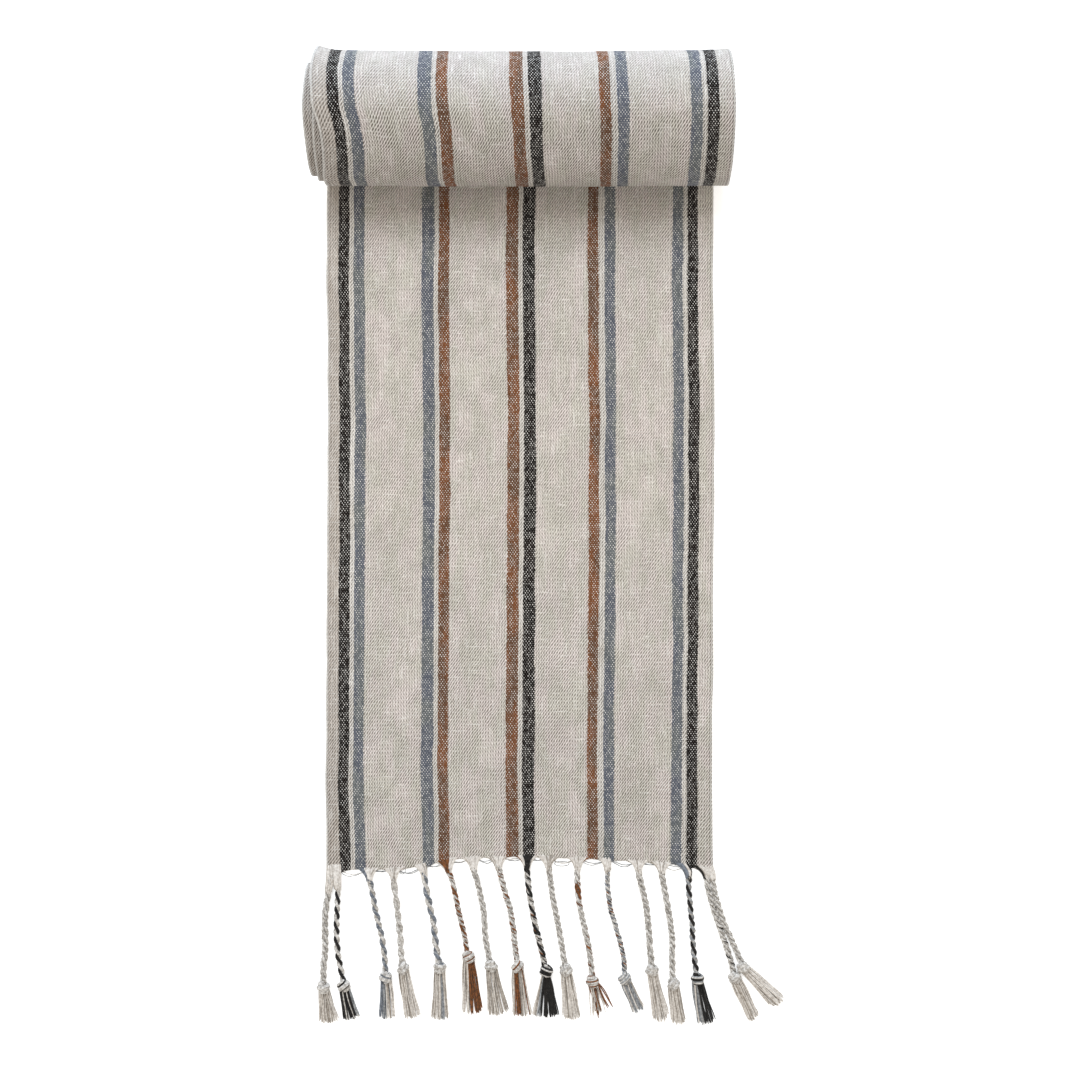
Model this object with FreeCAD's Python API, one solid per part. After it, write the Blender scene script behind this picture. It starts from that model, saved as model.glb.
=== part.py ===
"""Striped table runner, knotted fringe at both ends, lying flat with its far end rolled up.

Frame: X across the cloth, Y along it towards the roll, Z up.
Origin: middle of the flat stretch's underside, on the surface that it lies on.
"""
import FreeCAD, Part
import math
import os

Vector = FreeCAD.Vector

# Driving dimensions, in millimetres and degrees
cloth_width = 356.0          # 14 in
cloth_length = 1829.0        # 72 in, cut length without the fringe
cloth_thickness = 1.5
flat_length = 667.0          # stretch that lies flat, fringe edge to roll
roll_radius = 58.25          # first turn, to the middle of the cloth
layer_step_low = 2.0         # from one turn to the next under the core, where they settle
layer_step_high = 7.7        # the same over the core, where they are loose
body_gap = 0.3               # clearance between pieces that move apart

cord_diameter = 6.0
knot_radius = 5.0
skirt_thickness = 5.0        # loose yarn ends below a knot, lying flat
skirt_neck = 3.0             # half-width of the skirt where it leaves its knot
root_clearance = 0.5         # cloth edge to the round root of a cord
thread_diameter = 1.0        # loose weft thread between two cord roots

inner_cord_count = 17
inner_cord_pitch = 21.6
inner_cord_radius = 39.6     # from the core's axis to the hanging cords
inner_knot_radius_out = 37.4
inner_skirt_width = 12.0
inner_skirt_sweep = 52.0     # degrees of the core that a skirt lies along

edge_y = -flat_length / 2
roll_y = flat_length / 2

# How far each half turn of the roll has crept sideways
turn_creep = [7.0, 10.0, 2.0, -2.0, -7.0, -8.0, -6.0, -5.0]

# The fringe edge of the cloth: across, and ahead of edge_y
fringe_edge = [(-178.0, -9.5), (-110.0, -8.0), (-60.0, -2.0), (0.0, 0.0), (100.0, -1.0), (178.0, -5.0)]

# Seventeen tassels, left to right. "route": centre line of the cord below its root,
# across and ahead of edge_y, ending in its knot. "skirt": middle of the skirt's end
# and its half-width there. "root": where the cord leaves the cloth, across.
tassels = [
    {"root": -171.5, "route": [(-175, -28), (-179, -44), (-180, -59.5), (-179, -75), (-180, -90), (-181.5, -104),
                               (-181, -117.5)], "skirt": (-176, -150), "spread": 8.0},
    {"root": -162, "route": [(-165, -25.5), (-167.5, -41), (-169, -56.5), (-169, -72), (-167.5, -87), (-165, -102),
                             (-162, -116)], "skirt": (-155.5, -147), "spread": 7.5},
    {"root": -139.5, "route": [(-136.5, -27), (-134, -43), (-130, -59), (-126.5, -75), (-124.5, -92),
                               (-123.5, -108.5)], "skirt": (-122.5, -146), "spread": 7.5},
    {"root": -116.5, "route": [(-115.5, -26), (-113.5, -42), (-112, -57.5), (-110, -72), (-109.5, -86.5),
                               (-107.5, -100)], "skirt": (-99.5, -145.5), "spread": 7.5},
    {"root": -86, "route": [(-87, -23), (-84.5, -38.5), (-80.5, -53), (-78.5, -68.5), (-77, -84),
                            (-74, -99)], "skirt": (-74, -147), "spread": 8.0},
    {"root": -67.5, "route": [(-63, -17), (-59.5, -32), (-56.5, -47.5), (-53, -62.5), (-50, -76.5),
                              (-47.5, -89.5)], "skirt": (-44, -141.5), "spread": 9.0},
    {"root": -44.5, "route": [(-40, -17), (-36.5, -32.5), (-33, -49.5), (-32.5, -66), (-30.5, -82.5),
                              (-26.5, -98)], "skirt": (-20.5, -142.5), "spread": 9.0},
    {"root": -21, "route": [(-17.5, -17), (-13, -32.5), (-8.5, -48.5), (-6, -65), (-4.5, -81.5),
                            (-2, -98)], "skirt": (2, -144), "spread": 9.0},
    {"root": 6, "route": [(7, -18), (9, -34.5), (12, -52), (16, -69.5), (20.5, -86),
                          (24, -102.5)], "skirt": (23.5, -144.5), "spread": 10.0},
    {"root": 25.5, "route": [(28, -18), (30, -35.5), (33.5, -52), (36.5, -68.5), (39.5, -85.5),
                             (42, -101.5)], "skirt": (48, -147), "spread": 9.0},
    {"root": 53, "route": [(52.5, -20), (54, -39), (58, -57.5), (62.5, -76), (65.5, -94.5),
                           (66.5, -112)], "skirt": (75, -143.5), "spread": 10.0},
    {"root": 81, "route": [(80, -21), (82, -39), (86.5, -57.5), (92, -75), (96, -92.5),
                           (96.5, -109.5)], "skirt": (109, -140), "spread": 5.5},
    {"root": 108.5, "route": [(110.5, -20), (115, -36.5), (117.5, -53), (118.5, -69.5), (120, -86),
                              (121.5, -102)], "skirt": (130.5, -149), "spread": 7.0},
    {"root": 130, "route": [(132, -21.5), (135.5, -41), (139, -59.5), (140.5, -78), (140, -96.5),
                            (141, -114.5)], "skirt": (146.5, -151.5), "spread": 7.5},
    {"root": 155.5, "route": [(155, -22.5), (156.5, -40), (158.5, -57.5), (159, -75), (160.5, -92.5),
                              (163, -109.5)], "skirt": (171.5, -151), "spread": 8.5},
    {"root": 171.3, "route": [(172.5, -24.5), (177, -42), (182.5, -59.5), (188.5, -76), (194, -92.5),
                              (197.5, -108.5)], "skirt": (215.5, -147), "spread": 6.0},
    {"root": 178.2, "route": [(180.5, -23.5), (185, -40), (191.5, -56), (197.5, -71.5), (202.5, -86.5),
                              (205.5, -99.5)], "skirt": (239.5, -133), "spread": 5.0},
]


def edge_at(x):
    """Height along Y of the fringe edge at a place across the cloth."""
    for (x_low, y_low), (x_high, y_high) in zip(fringe_edge, fringe_edge[1:]):
        if x <= x_high:
            break
    share = (min(x, x_high) - x_low) / (x_high - x_low)
    return edge_y + y_low + share * (y_high - y_low)


def tube(name, points, diameter):
    """A round tube along straight runs joined by tangent arcs."""
    corners = [Vector(*point) for point in points]
    edges = []
    radii = []
    start = corners[0]
    for before, corner, after in zip(corners, corners[1:], corners[2:]):
        run_in, run_out = corner - before, after - corner
        turn = run_in.getAngle(run_out)
        back = 0.45 * min(run_in.Length, run_out.Length)
        radii.append(back / math.tan(turn / 2))
        way_in, way_out = run_in.normalize(), run_out.normalize()
        arc_start, arc_end = corner - way_in * back, corner + way_out * back
        inward = (way_out - way_in).normalize()
        centre = corner + inward * math.hypot(back, radii[-1])
        middle = centre - inward * radii[-1]
        edges.append(Part.LineSegment(start, arc_start).toShape())
        edges.append(Part.Arc(arc_start, middle, arc_end).toShape())
        start = arc_end
    edges.append(Part.LineSegment(start, corners[-1]).toShape())
    path = Part.Wire(edges)
    section = Part.Circle(corners[0], corners[1] - corners[0], diameter / 2).toShape()
    solid = path.makePipeShell([Part.Wire(section)], True, True)
    expected = math.pi * diameter ** 2 / 4 * path.Length
    print(f"{name}: length {path.Length:.1f}, smallest radius {min(radii):.0f}, "
          f"volume {solid.Volume / expected:.4f} of section x length")
    return solid


def round_root(centre, towards, diameter):
    """Half ball that closes a cord at its root."""
    return Part.makeSphere(diameter / 2, centre, centre - towards, 0, 90, 360)


def block(low, high):
    size = high - low
    return Part.makeBox(size.x, size.y, size.z, low)


def flat_stretch():
    """The stretch of cloth that lies flat, with its slightly uneven fringe edge."""
    outline = [Vector(x, edge_y + y, 0) for x, y in fringe_edge]
    outline += [Vector(cloth_width / 2, roll_y - body_gap, 0), Vector(-cloth_width / 2, roll_y - body_gap, 0)]
    face = Part.Face(Part.makePolygon(outline + outline[:1]))
    return face.extrude(Vector(0, 0, cloth_thickness))


def rolled_turns():
    """Centre height, radius and start angle of each half turn, from the lowest point inwards."""
    low, high = cloth_thickness / 2, cloth_thickness / 2 + 2 * roll_radius
    turns = []
    for number in range(len(turn_creep)):
        radius = (high - low) / 2
        turns.append((low + radius, radius, 180 * (number % 2)))
        if number % 2:
            high -= layer_step_high
        else:
            low += layer_step_low
    return turns


def rolled_stretch():
    """The rolled stretch: half turns, end to end, each a little smaller than the last."""
    left = cloth_length - flat_length
    pieces = []
    for (centre_z, radius, start), creep in zip(rolled_turns(), turn_creep):
        sweep = min(180.0, math.degrees(left / radius))
        left -= math.radians(sweep) * radius
        inner, outer = radius - cloth_thickness / 2, radius + cloth_thickness / 2
        side = cloth_width / 2
        corners = [Vector(x + creep, roll_y, centre_z - r)
                   for x, r in ((-side, inner), (side, inner), (side, outer), (-side, outer))]
        section = Part.Face(Part.makePolygon(corners + corners[:1]))
        axis_point, axis = Vector(0, roll_y, centre_z), Vector(1, 0, 0)
        section.rotate(axis_point, axis, start)
        pieces.append(section.revolve(axis_point, axis, sweep))
    print(f"cloth left over: {left:.2f}, last half turn sweeps {sweep:.1f} degrees")
    return pieces[0].fuse(pieces[1:]), centre_z, radius, start + sweep


def skirt_section(centre, along, half_width, half_height):
    """Upright ellipse across a skirt."""
    across = Vector(-along.y, along.x, 0).normalize()
    ellipse = Part.Ellipse(centre + across * half_width, centre + Vector(0, 0, half_height), centre)
    return Part.Wire(ellipse.toShape())


def tassel(number, settings):
    """One tassel on the surface: its cord, its knot and its skirt of loose ends."""
    root_x = settings["root"]
    height = cord_diameter / 2
    root = Vector(root_x, edge_at(root_x) - height - root_clearance, height)
    route = [root] + [Vector(x, edge_y + y, height) for x, y in settings["route"]]
    knot_centre = Vector(route[-1].x, route[-1].y, knot_radius)
    knot = Part.makeSphere(knot_radius, knot_centre)
    cord = tube(f"cord_{number:02d}", route, cord_diameter)
    cord = cord.fuse(round_root(root, route[1], cord_diameter)).cut(knot)

    end = Vector(settings["skirt"][0], edge_y + settings["skirt"][1], height)
    along = end - route[-1]
    flat_half = skirt_thickness / 2
    sections = []
    for share, half_width, half_height in ((0, skirt_neck + 0.2, skirt_neck),
                                           (0.3, 0.5 * (skirt_neck + settings["spread"]), flat_half + 0.2),
                                           (1, settings["spread"], flat_half)):
        centre = route[-1] + along * share
        centre.z = half_height + 0.2
        sections.append(skirt_section(centre, along, half_width, half_height))
    skirt = Part.makeLoft(sections, True, False).cut(knot)
    return cord, knot, skirt


def edge_threads(cloth):
    """Loose weft threads that bow out between neighbouring cord roots."""
    threads = []
    roots = [settings["root"] for settings in tassels[:-1]]
    for left, right in zip(roots, roots[1:]):
        ends = [Vector(x, edge_at(x) + thread_diameter, cloth_thickness / 2)
                for x in (left + cord_diameter * 0.7, right - cord_diameter * 0.7)]
        bow = (ends[0] + ends[1]) * 0.5 - Vector(0, min(3.5, 0.25 * (right - left)), 0)
        path = Part.Wire(Part.Arc(ends[0], bow, ends[1]).toShape())
        section = Part.Circle(ends[0], path.Edges[0].tangentAt(path.Edges[0].FirstParameter),
                              thread_diameter / 2).toShape()
        threads.append(path.makePipeShell([Part.Wire(section)], True, True).cut(cloth))
    return Part.makeCompound(threads)


def inner_fringe(end_z, end_radius, end_angle):
    """The fringe of the rolled-in end, hanging down inside the core and up its far side."""
    core_z = rolled_turns()[6][0]
    creep = turn_creep[-1]

    def in_core(radius, angle, centre_z=core_z):
        """Point round the core's axis; 0 degrees is down, 90 the far side, 180 up."""
        turn = math.radians(angle)
        return roll_y + radius * math.sin(turn), centre_z - radius * math.cos(turn)

    root_step = math.degrees((cord_diameter / 2 + root_clearance) / end_radius)
    root_point = in_core(end_radius, end_angle + root_step, end_z)
    hang_angles = (243, 266, 290, 314, 338, 357)
    hang_radii = (41.2, 40.2, inner_cord_radius, inner_cord_radius, inner_cord_radius, inner_cord_radius)
    cords, knots, skirts = [], [], []
    for number in range(inner_cord_count):
        x = creep + (number - (inner_cord_count - 1) / 2) * inner_cord_pitch
        sway = 2.0 * math.sin(2.4 * number)
        points = [Vector(x, *root_point)]
        for step, (angle, radius) in enumerate(zip(hang_angles, hang_radii)):
            points.append(Vector(x + sway * step / 3, *in_core(radius, angle)))
        end_x = points[-1].x
        knot_centre = Vector(end_x, *in_core(inner_knot_radius_out, 364))
        knot = Part.makeSphere(knot_radius, knot_centre)
        cord = tube(f"inner cord {number + 1}", points, cord_diameter)
        cords.append(cord.fuse(round_root(points[0], points[1], cord_diameter)).cut(knot))
        knots.append(knot)
        middle = Vector(end_x, *in_core(inner_cord_radius, 0))
        ellipse = Part.Ellipse(middle + Vector(inner_skirt_width / 2, 0, 0),
                               middle + Vector(0, 0, skirt_thickness / 2), middle)
        section = Part.Face(Part.Wire(ellipse.toShape()))
        axis_point, axis = Vector(0, roll_y, core_z), Vector(1, 0, 0)
        section.rotate(axis_point, axis, 5)
        skirts.append(section.revolve(axis_point, axis, inner_skirt_sweep).cut(knot))
    return {"inner_cords": Part.makeCompound(cords), "inner_knots": Part.makeCompound(knots),
            "inner_skirts": Part.makeCompound(skirts)}


nodes = {"cloth_flat": flat_stretch()}
nodes["cloth_roll"], last_z, last_radius, last_angle = rolled_stretch()
nodes["edge_threads"] = edge_threads(nodes["cloth_flat"])
nodes.update(inner_fringe(last_z, last_radius, last_angle))
for tassel_number, tassel_settings in enumerate(tassels, 1):
    pieces_made = tassel(tassel_number, tassel_settings)
    for kind, shape in zip(("cord", "knot", "skirt"), pieces_made):
        nodes[f"{kind}_{tassel_number:02d}"] = shape

os.makedirs("parts", exist_ok=True)
for node, shape in nodes.items():
    print(f"{node}: valid {shape.isValid()}, solids {len(shape.Solids)}, volume {shape.Volume:.0f}, "
          f"lowest {shape.BoundBox.ZMin:.2f}")
    shape.exportStep(f"parts/{node}.step")
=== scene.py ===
import math
import random

import bmesh
import bpy
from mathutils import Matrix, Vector, noise


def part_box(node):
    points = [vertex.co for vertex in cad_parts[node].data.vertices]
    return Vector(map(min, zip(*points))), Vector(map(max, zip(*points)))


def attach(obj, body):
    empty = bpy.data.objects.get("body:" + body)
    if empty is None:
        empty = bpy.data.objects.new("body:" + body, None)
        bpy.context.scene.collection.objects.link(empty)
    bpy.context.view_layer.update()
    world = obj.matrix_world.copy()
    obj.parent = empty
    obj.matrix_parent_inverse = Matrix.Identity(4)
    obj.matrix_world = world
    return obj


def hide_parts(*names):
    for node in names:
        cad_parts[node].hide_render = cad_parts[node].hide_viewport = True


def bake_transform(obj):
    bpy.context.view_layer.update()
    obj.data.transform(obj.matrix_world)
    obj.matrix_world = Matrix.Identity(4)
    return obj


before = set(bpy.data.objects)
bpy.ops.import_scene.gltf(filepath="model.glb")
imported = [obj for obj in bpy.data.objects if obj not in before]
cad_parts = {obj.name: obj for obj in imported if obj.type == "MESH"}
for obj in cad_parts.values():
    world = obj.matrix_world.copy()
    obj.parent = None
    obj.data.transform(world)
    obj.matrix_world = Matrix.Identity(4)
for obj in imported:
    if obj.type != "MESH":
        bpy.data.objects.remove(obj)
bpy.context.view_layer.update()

mm = 0.001
scene = bpy.context.scene


# sRGB hex to the linear colour that the shader wants
def srgb(hexColour, alpha=1.0):
    parts = [int(hexColour[i:i + 2], 16) / 255 for i in (1, 3, 5)]
    linear = [p / 12.92 if p <= 0.04045 else ((p + 0.055) / 1.055) ** 2.4 for p in parts]
    return (*linear, alpha)


# adds one node with its settings, inputs (a value or another node's output) and a ramp's stops
def addNode(tree, kind, inputs=(), output=0, stops=(), **settings):
    node = tree.nodes.new(kind)
    for name, value in settings.items():
        setattr(node, name, value)
    named = inputs if isinstance(inputs, dict) else dict(enumerate(inputs))
    for name, value in named.items():
        if isinstance(value, bpy.types.NodeSocket):
            tree.links.new(value, node.inputs[name])
        else:
            node.inputs[name].default_value = value
    for number, (place, colour) in enumerate(stops):
        elements = node.color_ramp.elements
        stop = elements[number] if number < 2 else elements.new(place)
        stop.position, stop.color = place, colour
    return node.outputs[output]


def newMaterial(name):
    material = bpy.data.materials.new(name)
    material.use_nodes = True
    material.node_tree.nodes.clear()
    return material, material.node_tree


cloth = {
    "cut": (0.356, 1.829),          # width and length before it was laid out
    "thickness": 1.5 * mm,
    "flat": 0.667,                  # fringe edge to the line where the roll starts
    "stepLow": 2.0 * mm,            # between turns, under the core
    "stepHigh": 7.7 * mm,           # between turns, over the core
    "creep": [(0, 0), (0.25, 3.8), (0.39, 4.9), (0.5, 6.2), (0.61, 7.7), (0.75, 10), (1, 8), (1.5, 2.5),
              (1.75, -0.5), (2, -6), (2.5, -8), (3, -6), (4, -4)],        # sideways drift in mm by turns
    "skew": [(0, 0), (0.3, -1.2), (0.5, -0.6), (0.75, 2.2), (1, 0), (4, 0)],  # left edge's own share, mm
    "margin": 3.5 * mm,             # the left margin lies wider where the cloth is pulled round the roll
    "leftDrift": [(0, 0), (0.318, -0.6), (0.378, -1.6), (0.417, -3.0), (0.468, -2.4), (0.514, -1.4),
                  (0.546, 2.0), (0.58, 3.0), (0.619, 2.2), (0.669, -0.2), (0.70, -2.4), (0.75, -3.6),
                  (1, 0)],                                              # the left half's own, mm by turns
    "lip": 3.1 * mm,                # the left margin stands off the roll at the back
    "bow": 2.4 * mm,                # the roll's middle stands that far forward of its ends
    "sway": [(0, 0), (35, -0.3), (91, -0.75), (165, -0.65), (238, 0.1), (312, 0.45), (386, 0.95), (460, 0.3),
             (533, -0.1), (667, 0)],                        # flat stretch, mm by mm from the fringe
    "drawnIn": 0.009,               # how much narrower the stripes sit at the fringe
    "across": 130,                  # cells across
    "edgeRows": (18, 1.0 * mm),     # fine rows beside the fringe
    "rows": 340,
    "swell": 1.1 * mm,              # how far the flat cloth rises in soft swells
    "crease": 0.95 * mm,            # smaller folds left by handling
    "curl": 1.6 * mm,               # how far the side edges lift
    "edge": [(-0.178, -0.0125), (-0.163, -0.0125), (-0.11, -0.0115), (-0.085, -0.0075), (-0.06, -0.002),
             (0, 0), (0.05, -0.0015), (0.1, -0.004), (0.14, -0.007), (0.178, -0.0105)],
    "scallop": 3.0 * mm,            # how far the cloth draws back between two cord roots
    "scallopWidth": 6.0 * mm,
    "edgeFade": 60 * mm,            # the scallops die out that far up the cloth
}

rollLow, rollHigh = (Vector(corner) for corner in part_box("cloth_roll"))
rollRadius = (rollHigh.z - rollLow.z - cloth["thickness"]) / 2
rollY = rollHigh.y - rollRadius - cloth["thickness"] / 2
edgeY = rollY - cloth["flat"]


# reads a line given as (place, value) points
def between(points, at):
    for (a, va), (b, vb) in zip(points, points[1:]):
        if at <= b:
            break
    share = min(max((at - a) / (b - a), 0), 1)
    return va + (vb - va) * share


def wave(x, y, z=0.0):
    return noise.noise(Vector((x, y, z)))


def edgeAt(x):
    return edgeY + between(cloth["edge"], x)


view = {
    "height": 1.5, "lens": 54.2, "sensor": 36,
    "aside": 0.0184, "aheadOfEdge": 0.2938,
}


def makeCamera():
    data = bpy.data.cameras.new("camera")
    data.lens, data.sensor_width = view["lens"], view["sensor"]
    camera = bpy.data.objects.new("camera", data)
    camera.location = (view["aside"], edgeY + view["aheadOfEdge"], view["height"])
    scene.collection.objects.link(camera)
    scene.camera = camera


studio = {
    "surround": (0.86, "#FFFAF2"),
    "key": {"at": (-0.6, 1.8, 3.4), "size": 1.7, "power": 72, "tint": "#EFF7FF"},
    "window": {"at": (-0.3, 3.4, 0.66), "size": 1.0, "power": 80, "tint": "#C8E2FF"},
    "aim": (0, 0.1, 0),
    "floorGlow": 0.36,              # the paper lies on a light table
    "floorHalf": 6,
}


def makeStudio():
    world = bpy.data.worlds.new("studio")
    world.use_nodes = True
    strength, tint = studio["surround"]
    background = world.node_tree.nodes["Background"]
    background.inputs["Color"].default_value = srgb(tint)
    background.inputs["Strength"].default_value = strength
    scene.world = world
    for name in ("key", "window"):
        light = bpy.data.lights.new(name, "AREA")
        light.shape, light.size, light.energy = "SQUARE", studio[name]["size"], studio[name]["power"]
        light.color = srgb(studio[name]["tint"])[:3]
        lamp = bpy.data.objects.new(name, light)
        lamp.location = studio[name]["at"]
        lamp.rotation_euler = (Vector(studio["aim"]) - lamp.location).to_track_quat("-Z", "Y").to_euler()
        scene.collection.objects.link(lamp)
    scene.view_settings.view_transform = "Standard"
    bm = bmesh.new()
    bmesh.ops.create_grid(bm, x_segments=1, y_segments=1, size=studio["floorHalf"])
    mesh = bpy.data.meshes.new("floor")
    bm.to_mesh(mesh)
    bm.free()
    floor = bpy.data.objects.new("floor", mesh)
    scene.collection.objects.link(floor)
    material, tree = newMaterial("matteWhitePaper")  # flat paint, no gloss
    bsdf = addNode(tree, "ShaderNodeBsdfPrincipled", {
        "Base Color": srgb("#FAFAFA"), "Roughness": 1.0, "Specular IOR Level": 0.0,
        "Emission Color": srgb("#FFFFFF"), "Emission Strength": studio["floorGlow"]})
    tree.links.new(bsdf, tree.nodes.new("ShaderNodeOutputMaterial").inputs["Surface"])
    mesh.materials.append(material)


makeCamera()
makeStudio()
print("camera, light and floor are in place")


# stripes from the left edge: width in mm and warp yarn
stripes = [
    (9.85, "selvedge"), (10.4, "charcoal"), (4.25, "white"), (10.0, "slate"), (53.0, "cream"),
    (9.9, "slate"), (4.5, "white"), (10.5, "brown"), (52.9, "cream"),
    (10.3, "brown"), (4.35, "white"), (10.65, "charcoal"), (49.4, "cream"),
    (10.3, "brown"), (4.65, "white"), (10.1, "slate"), (52.7, "cream"),
    (9.85, "slate"), (3.6, "white"), (10.05, "charcoal"), (14.75, "cream"),
]
warpTones = {  # the same yarn where the dye took well, and where it is thin
    "cream": ("#E4DAD6", "#D9D5CB"),
    # the left margin's tone, darker than the cream, is painted shade on the curled left edge
    "selvedge": ("#CFC7C0", "#C6BDB4"),
    "white": ("#E4E0DB", "#DDD8D1"),
    "charcoal": ("#0C0706", "#18100E"),
    "slate": ("#575B66", "#616567"),
    "brown": ("#76482A", "#5D402D"),
}


# which warp yarn the cloth has at a place across it
def stripeAt(x):
    place = x + cloth["cut"][0] / 2
    for width, yarn in stripes:
        place -= width * mm
        if place < 0:
            break
    return yarn


weave = {
    "fleckMm": (2.5, 3.55),         # two yarns each way, as coarse as the dark stripes show them
    "twillMm": (2.43, 3.52),        # the same where the cream warp floats over two
    "paleWeft": "#EAE7E2",
    "shadeInGrooves": "#5C534A",
    # painted light: a flat grey-cream that replaces the painted groove shade on the roll's back, which faces
    # the lamps
    "worn": "#BCB5AF",              # the cream weave where its grooves hardly show
    # painted shade along the cloth: a tone by mm along, darker near the fringe and over the roll
    "paintedShadeAlong": [(0, 0.89), (330, 1.0), (687, 1.0), (757, 0.88), (850, 0.88), (874, 0.81)],  # by mm along
    # how much of that flat grey-cream covers the cream, by mm along: most over the roll's back
    "litBackAlong": [(0, 0.0), (330, 0.05), (700, 0.05), (750, 0.65), (799, 0.6), (832, 0.32), (865, 0.0)],
    "backShowsMm": 60,              # past the flat stretch, the twill is seen from its back
    "borderStepMm": 0.25,           # how far a stripe's border steps at each weft
    "twillShare": (1.15, 0.55),     # of the diagonal in the cream field, and how much where it sits square
    "squareShare": (0.0, 0.8),
    "columnShare": 0.45,
    "grooveLevels": (-1.15, 0.75),
    # the painted groove shade goes deeper where the painted shade along the cloth is darkest
    "grooveDepth": (1.0, 0.82),     # where the cloth is toned down most, and where it isn't
    "fleckLevels": (0.5, 0.66),
    "fleckCover": 0.95,
    "slubCover": (0.5, 0.14),       # on cream, on a dark stripe
    "slubHeight": 1.5,
    "selvedge": (1.9, 1.3, 0.55),   # mm from the edge where it starts and is full, and how pale
    # painted shade in a narrow groove beside the outermost yarns: mm from the edge where it starts and is
    # full, and how dark it gets
    "furrowShade": (3.0, 2.2, 0.80),
    "reliefMm": 0.4,
    # unevenness: mm across, mm along, detail, roughness, then the noise's low and high and what they give
    "uneven": {
        "wander": (24, 14, 2.0, 0.5, 0, 1, -0.9, 0.9),          # yarns spun by hand don't run straight
        "ramble": (18, 22, 2.0, 0.5, 0, 1, -1.2, 1.2),
        "stripeDrift": (30, 60, 2.0, 0.5, 0, 1, -1.3, 1.3),
        "stripeFray": (2.5, 3.0, 0.0, 0.5, 0, 1, -0.55, 0.55),
        "dye": (14, 42, 3.0, 0.6, 0.38, 0.62, 0, 1),
        "fleck": (3.5, 5, 2.0, 0.5, 0.38, 0.6, 0.12, 1.1),
        "square": (16, 22, 2.0, 0.5, 0.4, 0.62, 0, 1),          # where the diagonal fades
        "weftSlub": (16, 1.5, 1.0, 0.5, 0.62, 0.82, 0, 1),      # thick places in single yarns
        "warpSlub": (1.3, 26, 1.0, 0.5, 0.60, 0.82, 0, 1),
        "patch": (30, 44, 4.0, 0.6, 0.3, 0.7, 0.95, 1.05),
        "grain": (2.0, 2.4, 2.0, 0.7, 0.25, 0.75, 0.80, 1.20),
    },
}


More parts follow.
